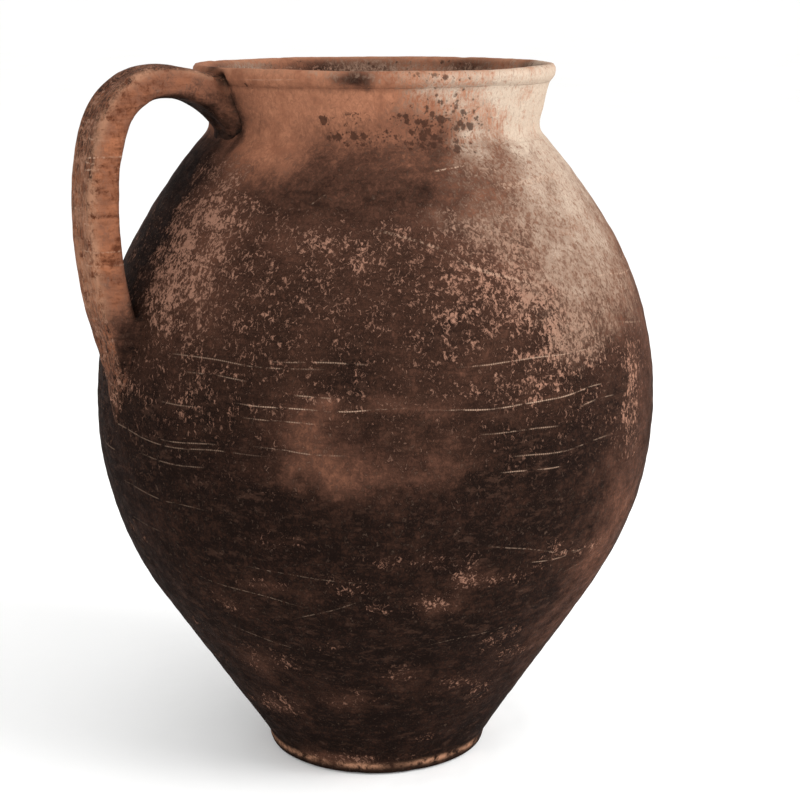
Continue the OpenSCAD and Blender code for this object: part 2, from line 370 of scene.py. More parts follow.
def patches(turn, height, rows, warp):
    """How strongly each vertex is covered: the patches' bell curves, flattened on top, joined so that
    overlapping amounts never pass 1. warp shifts the places a little, so that no patch is an oval."""
    cover = np.zeros(turn.shape)
    for at, level, reach_turn, reach_height, amount in rows:
        around = (turn + warp[0] * reach_turn * 0.25 - at + 180) % 360 - 180
        along = height + warp[1] * reach_height * 0.25 - level
        bell = np.exp(-((around / reach_turn) ** 2 + (along / reach_height) ** 2) ** 1.3)
        room = 1 if amount < 0 else 1 - np.clip(cover, 0, 1)
        cover = cover + amount * bell * room
    return cover


def wear(points):
    """The four patch layers at each point: smoke, worn, bloom and spot, from 0 to 1. The first also
    holds painted shade and the third painted light.
    """
    x, y, z = np.moveaxis(points, -1, 0)
    turn = np.degrees(np.arctan2(y, x)) % 360
    height = z / MM
    warp = [waves(points, 26 * MM, 16, 5) * 0.5 + waves(points, 9 * MM, 16, 6) * 0.3,
            waves(points, 24 * MM, 16, 7) * 0.5 + waves(points, 8 * MM, 16, 8) * 0.3]
    ground = np.interp(height, [0, 180, 205, 235, 275, 296, 305, 313, 321, 330, 350],
                       [1.0, 0.98, 0.94, 0.88, 0.80, 0.72, 0.67, 0.57, 0.30, 0.06, 0.03])
    groove = 0.16 * np.exp(-((height - 341.4) / 1.1) ** 2)
    smoke_and_shade = np.clip(ground + groove + patches(turn, height, SMOKE_AND_SHADE, warp), 0, 1)
    speck = np.interp(height, [0, 150, 178, 215, 282, 295, 350], [0.0, 0.02, 0.14, 0.28, 0.31, 0.0, 0.0])
    worn = np.clip(speck + patches(turn, height, WORN, warp), 0, 1)
    bloom_and_highlight = np.clip(patches(turn, height, BLOOM_AND_HIGHLIGHT, warp), 0, 1)
    spot = np.clip(patches(turn, height, SPOT, (0, 0)), 0, 1)
    return smoke_and_shade, worn, bloom_and_highlight, spot


# %% [markdown]
# ## From arrays to meshes
#
# A grid of points becomes a mesh by joining each point to its neighbours. Rows that run round close
# on themselves, and open ends get a fan of triangles to one middle point, so every piece is a closed
# solid that a printer could make. The signed volume tells whether the faces point outwards.

# %% Mesh helper
def surface(name, points, closed_rows=True, layers=None):
    """A mesh from a grid of points (rows, columns, 3). Columns close round. Rows close round too, or
    each end is closed with a fan to the mean of its ring. layers are named values per grid point."""
    rows, columns, _ = points.shape
    index = np.arange(rows * columns).reshape(rows, columns)
    right = np.roll(index, -1, axis=1)
    if closed_rows:
        here, up = index, np.roll(index, -1, axis=0)
        here_right, up_right = right, np.roll(right, -1, axis=0)
    else:
        here, up, here_right, up_right = index[:-1], index[1:], right[:-1], right[1:]
    quads = np.stack([here, here_right, up_right, up], -1).reshape(-1, 4)
    flat = points.reshape(-1, 3)
    fans = np.zeros((0, 3), int)
    if not closed_rows:
        flat = np.concatenate([flat, points[:1].mean(1), points[-1:].mean(1)])
        first, last = rows * columns, rows * columns + 1
        fans = np.concatenate([
            np.stack([np.full(columns, first), right[0], index[0]], -1),
            np.stack([np.full(columns, last), index[-1], right[-1]], -1)])
    corners = flat[quads]
    volume = np.einsum("ij,ij->", corners[:, 0], np.cross(corners[:, 1], corners[:, 2]))
    volume += np.einsum("ij,ij->", corners[:, 0], np.cross(corners[:, 2], corners[:, 3]))
    if volume < 0:
        quads, fans = quads[:, ::-1], fans[:, ::-1]
    mesh = bpy.data.meshes.new(name)
    mesh.vertices.add(len(flat))
    mesh.vertices.foreach_set("co", flat.astype(np.float32).ravel())
    mesh.loops.add(quads.size + fans.size)
    around = np.concatenate([quads.ravel(), fans.ravel()])
    mesh.loops.foreach_set("vertex_index", around.astype(np.int32))
    sizes = np.r_[np.full(len(quads), 4), np.full(len(fans), 3)]
    mesh.polygons.add(len(sizes))
    mesh.polygons.foreach_set("loop_start", np.r_[0, np.cumsum(sizes)[:-1]].astype(np.int32))
    mesh.update(calc_edges=True)
    mesh.validate()
    mesh.polygons.foreach_set("use_smooth", np.ones(len(sizes), bool))
    mesh.set_sharp_from_angle(angle=math.radians(50))
    for layer, values in (layers or {}).items():
        middles = [values[0].mean(), values[-1].mean()][: len(flat) - values.size]
        full = np.concatenate([values.ravel(), middles])
        attribute = mesh.attributes.new(layer, "FLOAT", "POINT")
        attribute.data.foreach_set("value", full.astype(np.float32))
    piece = bpy.data.objects.new(name, mesh)
    bpy.context.scene.collection.objects.link(piece)
    triangles = 2 * len(quads) + len(fans)
    print(name, triangles, "triangles, volume", round(abs(volume) / 6 * 1e6, 1), "cm3")
    return piece


def add_piece(node, material, points, closed_rows=True, layers=None):
    """Makes a piece in its node's place: it rides on the jar, hides the plain solid and gets its
    finish."""
    piece = surface("jar_" + node, points, closed_rows, layers)
    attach(piece, "root")
    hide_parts(node)
    piece.data.materials.append(material)


# %% [markdown]
# ## Shader maths as plain expressions
#
# A procedural finish is a long sum of masks. Wiring it node by node hides the idea, so a small class
# wraps a socket and turns Python's operators into Math nodes.

# %% Shader helper
class Value:
    """A number that changes over the surface: a socket with arithmetic."""

    def __init__(self, graph, socket):
        self.graph, self.socket = graph, socket

    def math(self, operation, *others, clamp=False):
        settings = {"operation": operation, "use_clamp": clamp}
        return self.graph.node("ShaderNodeMath", settings, {0: self, **dict(enumerate(others, 1))})

    def __add__(self, other):
        return self.math("ADD", other)

    def __sub__(self, other):
        return self.math("SUBTRACT", other)

    def __rsub__(self, other):
        return (self * -1) + other

    def __mul__(self, other):
        return self.math("MULTIPLY", other)

    __radd__ = __add__
    __rmul__ = __mul__

    def size(self):
        """The value without its sign."""
        return self.math("ABSOLUTE")

    def clip(self):
        """The value held between 0 and 1."""
        return self.math("ADD", 0.0, clamp=True)

    def step(self, low, high):
        """0 at low, 1 at high, and a straight ramp between them. low may be the larger."""
        return self.graph.node("ShaderNodeMapRange", {"clamp": True},
                               {"Value": self, "From Min": low, "From Max": high}, "Result")


NOISE_SPREAD = 0.26


class Graph:
    """A material's nodes."""

    def __init__(self, name):
        self.material = bpy.data.materials.new(name)
        self.material.use_nodes = True
        self.tree = self.material.node_tree
        self.tree.nodes.clear()

    def node(self, kind, settings=None, inputs=None, output=0):
        """Adds a node, sets its settings, then its sockets, and gives back one of its outputs."""
        made = self.tree.nodes.new(kind)
        for key, value in (settings or {}).items():
            setattr(made, key, value)
        for key, value in (inputs or {}).items():
            if isinstance(value, Value):
                self.tree.links.new(value.socket, made.inputs[key])
            else:
                made.inputs[key].default_value = value
        return None if output is None else Value(self, made.outputs[output])

    def layer(self, name):
        """A value stored on the mesh."""
        return self.node("ShaderNodeAttribute", {"attribute_name": name}, output="Fac")

    def axis(self, point, letter):
        """One coordinate of a point."""
        return self.node("ShaderNodeSeparateXYZ", {}, {"Vector": point}, letter)

    def place(self):
        """The point in the jar's frame, in millimetres."""
        point = self.node("ShaderNodeTexCoord", output="Object")
        return self.node("ShaderNodeVectorMath", {"operation": "SCALE"}, {0: point, "Scale": 1 / MM})

    def stretch(self, point, x, y, z):
        """The point with each axis multiplied."""
        return self.node("ShaderNodeVectorMath", {"operation": "MULTIPLY"}, {0: point, 1: (x, y, z)})

    def grain(self, point, size, detail=4, rough=0.55, swirl=0.0):
        """Cloudy noise with a mean of 0 and a spread of about 1, with lumps of size millimetres. Each
        further octave is half as large and rough times as strong, so the sum is divided by the root
        of the sum of their squares. swirl drags the lumps into threads."""
        spread = NOISE_SPREAD * math.sqrt(sum(rough ** (2 * octave) for octave in range(detail + 1)))
        inputs = {"Vector": point, "Scale": 1 / size, "Detail": detail}
        inputs |= {"Roughness": rough, "Distortion": swirl}
        return self.node("ShaderNodeTexNoise", {"normalize": False}, inputs, "Fac") * (1 / spread)

    def cells(self, point, size):
        """The distance from the middle of the nearest cell, with cells about size millimetres across."""
        return self.node("ShaderNodeTexVoronoi", {}, {"Vector": point, "Scale": 1 / size}, "Distance")

    def blend(self, share, low, high):
        """One colour over another. The Mix node keeps its colours in sockets 6 and 7."""
        return self.node("ShaderNodeMix", {"data_type": "RGBA"}, {0: share, 6: low, 7: high}, 2)

    def surface(self, colour, roughness, height, relief, specular):
        """The finish itself: colour and roughness on a Principled shader, and a height made into
        relief."""
        bump = {"Strength": 1.0, "Distance": relief, "Height": height}
        inputs = {"Base Color": colour, "Roughness": roughness, "Specular IOR Level": specular}
        inputs["Normal"] = self.node("ShaderNodeBump", {}, bump, "Normal")
        shader = self.node("ShaderNodeBsdfPrincipled", {}, inputs, "BSDF")
        self.node("ShaderNodeOutputMaterial", {}, {"Surface": shader}, None)
        return self.material


def rgb(red, green, blue):
    """A solid colour, as a colour socket wants it."""
    return (red, green, blue, 1.0)


# %% [markdown]
# ## The finish of the wall
#
# Old smoked earthenware has layers: pink-brown clay below, a brown-black coat over it, flakes where the
# coat has gone, a chalky bloom on top, and scratches through everything. Some light and shade is painted
# into these layers as well: the coat also darkens for painted shade under the handle, the bloom also
# stands for painted light on the lamp's side, and some rubbed edges are partly a painted highlight. Each
# layer is a mask made from noise of its own grain size, cut off at a level that the wear layers raise or
# lower. So one patch of wear turns into hundreds of ragged flecks. The lines that the wheel and use have
# left are few enough to be placed one by one.

# %% Lines, scratches and nicks
# Turning lines: height in mm, first and last turn in degrees, strength.
SCORES = [
    (228.0, 221, 240, 0.6), (225.2, 196, 232, 0.5), (224.8, 256, 292, 0.7),
    (218.4, 202, 217, 0.5), (213.6, 226, 234, 0.8), (207.8, 214, 247, 1.0),
    (206.6, 250, 293, 0.9), (203.0, 196, 206, 0.4), (201.6, 216, 232, 0.6),
    (200.2, 282, 294, 0.6), (195.2, 260, 277, 0.6), (188.4, 218, 236, 0.5),
    (186.6, 194, 211, 0.5), (184.0, 168, 222, 0.4), (183.6, 266, 292, 0.6),
    (176.6, 264, 280, 0.8), (176.2, 190, 208, 0.4), (170.4, 170, 186, 0.4),
    (157.4, 180, 208, 0.3), (139, 176, 196, 0.2), (128.6, 272, 290, 0.6), (345.6, 196, 218, 0.6),
    (236.0, 20, 60, 0.6), (205.0, 5, 70, 0.8), (192.0, 90, 140, 0.7), (221.0, 100, 160, 0.6),
    (168.0, 30, 60, 0.6),
]

# Scratches: first turn in degrees and height in mm, last turn and height, width in mm, strength.
SCRATCHES = [
    (240, 281, 260, 270, 1.0, 0.26), (258, 270, 279, 254, 1.4, 0.36),
    (291, 256, 334, 248, 0.3, 0.6), (257, 304.6, 268, 307, 0.4, 0.8),
    (272, 306, 278, 305, 0.3, 0.6), (272, 298, 304, 300, 2.4, 0.35),
    (225, 291, 228.5, 296, 0.4, 0.5), (300, 232, 316, 226, 0.4, 0.3),
    (285, 118, 297, 122, 0.3, 0.25), (200, 120, 226, 112, 0.25, 0.35),
    (214, 131, 240, 127, 0.25, 0.3), (222, 104, 238, 117, 0.25, 0.3),
    (252, 88, 275, 97, 0.25, 0.3), (262, 140, 290, 128, 0.3, 0.35), (205, 92, 222, 84, 0.25, 0.3),
    (100, 240, 128, 262, 0.7, 0.4), (40, 180, 66, 171, 0.5, 0.4), (10, 262, 34, 250, 1.2, 0.35),
]

# Nicks across the handle: sideways and height in mm, half length in mm, slant, strength.
NICKS = [
    (-8, 319, 8, 0.03, 0.6), (-11, 311, 5, -0.06, 1.0), (-9, 308.6, 5, 0.04, 0.9),
    (-11, 305.6, 4.5, -0.1, 0.8), (-9, 281, 6, 0.05, 0.5), (-8, 268.5, 9, 0.0, 0.8),
    (-6, 265, 7, 0.05, 0.5), (-9, 262, 7, -0.04, 0.6), (4, 287, 6, 0.08, 0.5),
    (9, 246, 7, 0.1, 0.5), (-2, 236, 5, -0.12, 0.4), (6, 326, 5, 0.1, 0.5),
]
print(len(SCORES), "turning lines,", len(SCRATCHES), "scratches,", len(NICKS), "nicks")


# %% Marks on the wall and the strap
# The width of a turning line in mm, the length of its beads in degrees, and the X in mm between which
# the nicks on the strap begin and are complete.
LINE_WIDTH = 0.3
BEAD_PITCH = 0.46
NICK_FACE = (-118, -124)


def line_mark(turn, level, ends, width):
    """A straight mark on the wall: the distance across the line is under half the width, and the
    distance along it from its middle is under half its length. Degrees count as mm at that height."""
    first, low, last, high = ends
    per_degree = float(wall_radius((low + high) / 2 * MM)) / MM * math.pi / 180
    middle = (first + last) / 2 - 360 * ((first + last) > 360)
    run, rise = ((last - first + 180) % 360 - 180) * per_degree, high - low
    length = math.hypot(run, rise)
    around, up = (turn - middle) * per_degree, level - (low + high) / 2
    across = (up * (run / length) - around * (rise / length)).size()
    along = (around * (run / length) + up * (rise / length)).size()
    return across.step(width / 2 + 0.25, width / 2 - 0.1) * along.step(length * 0.5, length * 0.32)


def wall_marks(g, p, fine):
    """The wall's turning lines, broken into short beads where the tool chattered, and its scratches."""
    x, y, z = (g.axis(p, letter) for letter in "XYZ")
    turn = y.math("ARCTAN2", x) * (180 / math.pi)
    level = z + g.grain(p, 60, 1) * 0.9
    marks = 0.0
    for height, first, last, strength in SCORES:
        marks = marks + line_mark(turn, level, (first, height, last, height), LINE_WIDTH) * strength
    beads = (turn * (2 * math.pi / BEAD_PITCH)).math("SINE") * 0.35 + 0.75
    marks = marks * beads * g.grain(g.stretch(p, 1, 1, 3.0), 7, 3, 0.6).step(-1.2, 0.5)
    for first, low, last, high, width, strength in SCRATCHES:
        scratch = line_mark(turn, level, (first, low, last, high), width)
        marks = marks + scratch * strength * fine.step(-0.4, 0.9)
    return marks.clip()


def strap_marks(g, p, fine):
    """Short nicks across the strap. Only its outer face has them."""
    x, y, z = (g.axis(p, letter) for letter in "XYZ")
    marks = 0.0
    for across, level, reach, slant, strength in NICKS:
        off = (z - level - (y - across) * slant).size().step(0.55, 0.15)
        short = (y - across).size().step(reach, reach * 0.5)
        marks = marks + off * short * fine.step(-0.8, 0.4) * strength
    return (marks * x.step(*NICK_FACE)).clip()


# %% The coated clay
# Where each shade of the coat begins and is complete, from thin and brown to thick and black.
COAT = [
    (0.0, 0.35, rgb(0.165, 0.070, 0.042)), (0.35, 0.62, rgb(0.070, 0.0315, 0.0205)),
    (0.62, 0.82, rgb(0.029, 0.0138, 0.0094)), (0.82, 1.0, rgb(0.0092, 0.0053, 0.0042)),
]


def coated_clay(name, clay_deep, clay_light, for_wall):
    """Clay under a smoked coat. The mesh layers smoke, worn, bloom, spot and rub say where each shows:
    the first also holds painted shade, the third painted light and the last a painted highlight. The
    wall's clay is cloudy. The strap's has bands across it, and its coat wears off in streaks."""
    g = Graph(name)
    p = g.place()
    smoke_and_shade, worn, bloom_and_highlight, spot, rub_and_highlight = (g.layer(layer) for layer in LAYERS)

    # The noises: slow clouds, lumps, fine grain, streaks that run down, and wipes that go round.
    cloud = g.grain(p, 26, 4, 0.6)
    clump = g.grain(p, 8, 5, 0.65)
    fine = g.grain(g.stretch(p, 1, 1, 0.75), 1.8, 4, 0.75, 0.7)
    runs = g.grain(g.stretch(p, 1, 1, 0.16), 1.3, 4, 0.65)
    wipe = g.grain(g.stretch(p, 0.22, 0.22, 1), 2.4, 4, 0.7)

    # The clay, and over it the coat, which darkens in four shades as it thickens.
    # The coat's darkness follows the first mesh layer, so it also paints the shade under the handle and
    # in the pinhole.
    soot_and_shade = smoke_and_shade + cloud * 0.028 + clump * 0.03 + fine * 0.05 + runs * bloom_and_highlight.step(0.02, 0.3) * 0.05
    soot_and_shade = soot_and_shade + wipe * smoke_and_shade.step(0.2, 0.6) * 0.022
    tint, bands = clump * 0.6 + cloud * 0.5, 0.0
    if not for_wall:
        bands = g.grain(g.stretch(p, 0.3, 0.3, 1), 3.0, 2, 0.5)
        tint = clump * 0.3 + cloud * 0.3 + bands * 0.9 + fine * 0.4
        soot_and_shade = soot_and_shade + (runs * 0.26 + fine * 0.1) * worn.step(0.2, 0.5) + clump * 0.04
    colour = g.blend(tint.step(-1.5, 1.4), clay_deep, clay_light)
    for thin, thick, shade in COAT:
        colour = g.blend(soot_and_shade.step(thin, thick), colour, shade)

    # Scuffs dull the coat, and flecks where it has come off show the clay.
    scuff = g.grain(g.stretch(p, 0.5, 0.5, 1.1), 4, 5, 0.75) + cloud * 0.5
    scuff = scuff.step(0.9, 2.7) * smoke_and_shade
    colour = g.blend(scuff * 0.42, colour, rgb(0.062, 0.031, 0.021))
    loss = fine * 1.1 + clump * 0.55 + worn * 2.9 - 2.65
    bare = loss.step(-1.05, 0.75) * worn.step(0.03, 0.25) * soot_and_shade.step(0.1, 0.42)
    bright = (worn + cloud * 0.06 + loss * 0.27).step(0.18, 1.2)
    bare_colour = g.blend(bright, rgb(0.062, 0.029, 0.0195), rgb(0.29, 0.15, 0.102))
    colour = g.blend(bare * 0.92, colour, bare_colour)

    # The bloom: a thin dust first, then chalk, which is palest where the bloom is thickest. On the
    # lamp's side of the neck and shoulder this pale is partly painted light.
    dust_and_highlight_colour = g.blend(fine.step(-1.6, 1.6), rgb(0.115, 0.064, 0.043), rgb(0.235, 0.145, 0.103))
    dust = (bloom_and_highlight + fine * 0.05).step(0.06, 0.5) * soot_and_shade.step(0.0, 0.4)
    colour = g.blend(dust * 0.85, colour, dust_and_highlight_colour)
    chalk_and_highlight = (bloom_and_highlight - 0.5) * 5.0 + fine * 0.6 + runs * 0.4 + clump * 0.2
    chalk_and_highlight = chalk_and_highlight.step(-1.8, 1.6) * bloom_and_highlight.step(0.03, 0.2)
    pale = (bloom_and_highlight + fine * 0.05 + runs * 0.05 + clump * 0.03).step(0.33, 0.95)
    thin_chalk_and_highlight = g.blend(soot_and_shade.step(0.0, 0.45), rgb(0.35, 0.205, 0.137), rgb(0.225, 0.137, 0.096))
    colour = g.blend(chalk_and_highlight, colour, g.blend(pale, thin_chalk_and_highlight, rgb(0.46, 0.365, 0.285)))

    # Pits in the bloom, and round spots of tar on the neck, in two sizes of cell.
    pits = (runs * 0.7 + fine * 0.7).step(0.9, 1.7) * (bloom_and_highlight + spot * 0.5).step(0.1, 0.5)
    colour = g.blend(pits * (0.6 - bloom_and_highlight * 0.3), colour, rgb(0.10, 0.052, 0.034))
    ragged = spot * 0.6 + clump * 0.05 + fine * 0.055
    spots = (ragged - g.cells(p, 4.2)).step(-0.02, 0.12)
    spots = spots + (ragged - 0.04 - g.cells(p, 1.5)).step(0.0, 0.25)
    spots = spots.clip() * spot.step(0.02, 0.2)
    colour = g.blend(spots * 0.8, colour, rgb(0.040, 0.018, 0.012))

    # Marks through everything, then the edges that hands and shelves have rubbed. On the rim's crest and
    # the strap's corners that pale is partly a painted highlight.
    marks = wall_marks(g, p, fine) if for_wall else strap_marks(g, p, fine)
    colour = g.blend(marks * 0.85, colour, rgb(0.44, 0.295, 0.21))
    rubbed_and_highlit = rub_and_highlight * (clump + fine * 0.5).step(-1.6, 1.0)
    colour = g.blend(rubbed_and_highlit, colour, rgb(0.35, 0.178, 0.108))

    roughness = 0.62 + bare * 0.12 + chalk_and_highlight * 0.2 + clump * 0.04
    height = fine * (bloom_and_highlight * 0.03 + 0.035) + runs * bloom_and_highlight * 0.035 + bands * 0.14
    height = height - pits * 0.10 - spots * 0.08 - marks * 0.08
    return g.surface(colour, roughness.clip(), height, MM, 0.005)


jar_skin = coated_clay("jar_skin", rgb(0.225, 0.092, 0.053), rgb(0.375, 0.163, 0.093), True)
handle_skin = coated_clay("handle_skin", rgb(0.085, 0.028, 0.014), rgb(0.255, 0.098, 0.05), False)
print("finishes:", jar_skin.name, len(jar_skin.node_tree.nodes), "nodes,", handle_skin.name)


# %% Bare clay, for the inside corner and the underside
def bare_clay(name):
    """Fired clay with no coat: warm and matt, with coarse sand in it and pale dust on the high spots."""
    g = Graph(name)
    p = g.place()
    mottle = g.grain(p, 9, 5, 0.6)
    grit = g.grain(p, 0.9, 3, 0.6)
    sand = 1 - g.cells(p, 1.6).step(0.10, 0.28)
    colour = g.blend(mottle.step(-1.3, 1.3), rgb(0.20, 0.088, 0.05), rgb(0.34, 0.17, 0.105))
    colour = g.blend(grit.step(0.2, 2.0) * 0.5, colour, rgb(0.36, 0.22, 0.15))
    colour = g.blend(sand * 0.8, colour, rgb(0.11, 0.055, 0.036))
    colour = g.blend(g.grain(p, 30, 4).step(0.0, 1.6) * 0.6, colour, rgb(0.085, 0.045, 0.03))
    return g.surface(colour, 0.8 + grit * 0.04, grit * 0.03 + mottle * 0.04 - sand * 0.08, MM, 0.04)


raw_clay = bare_clay("raw_clay")

# %% [markdown]
# ## The turned members
#
# Every turned member is a closed ring: up the outside, across the joint, down the inside and back. The
# four of them share one skin line, and each takes its own stretch of it between two joints, so they
# meet exactly. The columns are close enough together for a drip on the neck to be real shape.

# %% Rings
COLUMNS = 512
OUTER_STEP = 1.9 * MM
INNER_STEP = 4 * MM
JOINT_REACH = 6 * MM / FINE_STEP
JOINT_ROWS = 8
LAST = len(SKIN) - 1
BEVEL = (DISC_R + (SKIN[-1, 0] - DISC_R) * FOOT_TOP / FLOOR_Z, FOOT_TOP)


def mark_outside(height):
    """Where on the skin line the outside passes a height."""
    return np.interp(height, SKIN[:CREST, 1], np.arange(CREST))


def mark_inside(height):
    """Where on the skin line the inside passes a height."""
    return np.interp(-height, -SKIN[CREST:, 1], np.arange(CREST, LAST + 1))


def stretch_of_skin(start, end, step):
    """Rows of points round the jar along a stretch of the skin line, each pushed in along the line's
    own normal by the hollow depth there. The rows stand closer near a joint, so that no seam shows."""
    marks = np.linspace(start, end, max(3, int((end - start) * FINE_STEP / step) + 1))
    if end - start > 2 * JOINT_REACH:
        near = np.linspace(0, JOINT_REACH, JOINT_ROWS)
        marks = np.unique(np.concatenate([marks, start + near, end - near]))
    index = np.arange(len(SKIN))
    radius, height = (np.interp(marks, index, SKIN[:, k])[:, None] for k in (0, 1))
    out_r, out_z = (np.interp(marks, index, OUTWARD[:, k])[:, None] for k in (0, 1))
    turn = full_turn(COLUMNS)
    true, normal = spin(radius, turn, height), spin(out_r, turn, out_z)
    inside = np.clip((marks - CREST) * FINE_STEP / (9 * MM), 0, 1)[:, None]
    return true - normal * hollow_depth(true, inside)[..., None], inside + 0 * turn


def wall_layers(points, inside):
    """The wear layers of a turned member. Inside, the coat is thinner and the wear is even. The rim's
    crest and the foot's edge are made pale: the foot's edge is worn, and the crest partly worn and
    partly a painted highlight."""
    thinned = 0.5 + 0.25 * waves(points, 50 * MM, 12, 21)
    dusty = np.clip(0.2 + 0.2 * waves(points, 60 * MM, 10, 23), 0, 0.6)
    within = (thinned, 0.55, dusty, 0.42)
    layers = [out * (1 - inside) + there * inside for out, there in zip(wear(points), within)]
    height = points[..., 2]
    # The rim's crest is made pale: partly wear, partly a painted highlight on the lip's top.
    crest = np.clip(1 - np.abs(height - JAR_H + 1.2 * MM) / (1.6 * MM), 0, 1) * 0.5 * (1 - layers[0])
    edge = np.exp(-((height - 5.6 * MM) / (1.5 * MM)) ** 2)
    edge = edge * (0.85 + 0.25 * waves(points, 22 * MM, 12, 22))
    return dict(zip(LAYERS, (*layers, np.clip(crest + edge, 0, 1))))


def turned(node, outside, inside, joints=()):
    """A turned member from its stretches of skin and the rows that close its joints."""
    outer, outer_side = stretch_of_skin(*outside, OUTER_STEP)
    rows, sides = [outer], [outer_side]
    if inside:
        inner, inner_side = stretch_of_skin(*inside, INNER_STEP)
        rows.append(inner)
        sides.append(inner_side)
    for radius, height in joints:
        rows.append(spin(radius, full_turn(COLUMNS), height))
        sides.append(np.zeros((1, COLUMNS)))
    points, side = np.concatenate(rows), np.concatenate(sides)
    add_piece(node, jar_skin, points, layers=wall_layers(points, side))


foot_mark, belly_mark = mark_outside(FOOT_TOP), mark_outside(BELLY_Z)
seat_mark, rim_mark = mark_outside(SEAT_Z), mark_outside(RIM_Z)
turned("foot_ring", (0, foot_mark), None, [BEVEL])
turned("lower_wall", (foot_mark, belly_mark), (mark_inside(BELLY_Z), LAST), [BEVEL])
turned("upper_wall", (belly_mark, seat_mark), (mark_inside(SEAT_Z), mark_inside(BELLY_Z)))
turned("neck", (seat_mark, rim_mark), (mark_inside(RIM_Z), mark_inside(SEAT_Z)))
turned("rim_band", (rim_mark, mark_inside(RIM_Z)), None)

# %% [markdown]
# ## The floor of the jar
#
# The disc was cut from the wheel with a wire, which leaves nested arcs under it, and pressed by thumb
# from inside. A coil closes the corner. Both are turned shapes too, but the disc's rows run to the
# axis, where a fan closes them.

# %% Disc and coil
DISC_COLUMNS = 256
AXIS_GAP = 0.6 * MM
WIRE_PITCH = 3.1 * MM
FLOOR_PITCH = 8.5 * MM
FINGER_MARKS = 31


def disc_rows():
    """Rows of the disc: outwards under it (slightly hollow, with wire arcs), up its bevel, and back to
    the axis over the floor (with a throwing spiral)."""
    turn = full_turn(DISC_COLUMNS)
    under = np.linspace(AXIS_GAP, DISC_R, 44)[:, None]
    x, y = under * np.cos(turn), under * np.sin(turn)
    arcs = np.sin(np.hypot(x + 60 * MM, y - 15 * MM) * 2 * math.pi / WIRE_PITCH)
    hollow = 0.9 * MM * (1 - (under / DISC_R) ** 2)
    low = np.stack([x, y, (hollow + 0.16 * MM * (1 + arcs)) * (under < DISC_R * 0.999)], -1)
    over = np.linspace(SKIN[-1, 0], AXIS_GAP, 40)[:, None]
    spiral = np.sin(over * 2 * math.pi / FLOOR_PITCH - turn)
    x, y = over * np.cos(turn), over * np.sin(turn)
    high = np.stack([x, y, FLOOR_Z - 0.45 * MM * (1 + spiral) * (over < SKIN[-1, 0] * 0.99)], -1)
    return np.concatenate([low, high])


add_piece("base_disc", raw_clay, disc_rows(), closed_rows=False)


def coil_rows():
    """Rows of the coil: a hollow-faced ring that fills the corner, with the marks of a fingertip."""
    turn = full_turn(DISC_COLUMNS)
    low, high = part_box("floor_coil")
    corner = np.array(SKIN[-1])
    reach = high.z - low.z
    lean = (high.x - corner[0]) / reach
    share = np.linspace(0, 1, 14)[:, None]
    radius = corner[0] + reach * lean * (1 - share) ** 2 - reach * share**2
    height = low.z + reach * (1 - share) ** 2
    finger = 0.5 * MM * (1 + np.sin(turn * FINGER_MARKS)) * np.sin(math.pi * share)
    radius, height = radius + finger * 0.6, height - finger * 0.6
    return np.concatenate([spin(radius, turn, height), spin(corner[0], turn, low.z)])


add_piece("floor_coil", raw_clay, coil_rows())

# %% [markdown]
# ## The strap handle
#
# A handle is pulled: the potter strokes a wet strap of clay until it is long and flat with soft
# corners, sticks the thick end to the neck, bends it over, and presses the thin end on the belly. So
# its section changes along its length. It is made here as one section carried along a path. The
# section is a superellipse, which is nearly flat on its faces and round at its corners, with a
# shallow groove where the thumb ran.

# %% The strap's path and section
# Distance from the axis, height, width and thickness, all in mm, from the neck to the belly.
STRAP = [
    (80, 332, 37, 16.5), (93, 339, 33, 16), (108, 343, 32, 16), (123.5, 342, 32, 16),
    (136.2, 332, 32, 16.4), (143.6, 313, 32, 16.8), (146.4, 289, 32, 17), (145.6, 265, 32, 17.4),
    (142.3, 243, 32, 17.6), (137.5, 224, 31, 17.5), (132.5, 207, 28, 16),
]
STRAP_COLUMNS = 128
STRAP_ROWS = 420
CORNER_POWER = 2 / 3.3


def cubic(u, start, end, leave, arrive):
    """The curve that runs from start to end as u goes from 0 to 1, and leaves and arrives with the
    directions given."""
    ends = (1 + 2 * u) * (1 - u) ** 2 * start + u**2 * (3 - 2 * u) * end
    return ends + u * (1 - u) ** 2 * leave - u**2 * (1 - u) * arrive


def flow(knots, values, at):
    """A smooth curve through values at knots: between two knots it is the cubic that meets both with
    the slope of their neighbours."""
    slope = np.gradient(values, knots, axis=0)
    left = np.clip(np.searchsorted(knots, at) - 1, 0, len(knots) - 2)
    gap = (knots[left + 1] - knots[left])[..., None]
    u = ((at - knots[left]) / gap[..., 0])[..., None]
    return cubic(u, values[left], values[left + 1], gap * slope[left], gap * slope[left + 1])


strap_table = np.array(STRAP) * MM
strap_knots = np.r_[0, np.cumsum(np.hypot(*np.diff(strap_table[:, :2], axis=0).T))]
STRAP_LENGTH = strap_knots[-1]


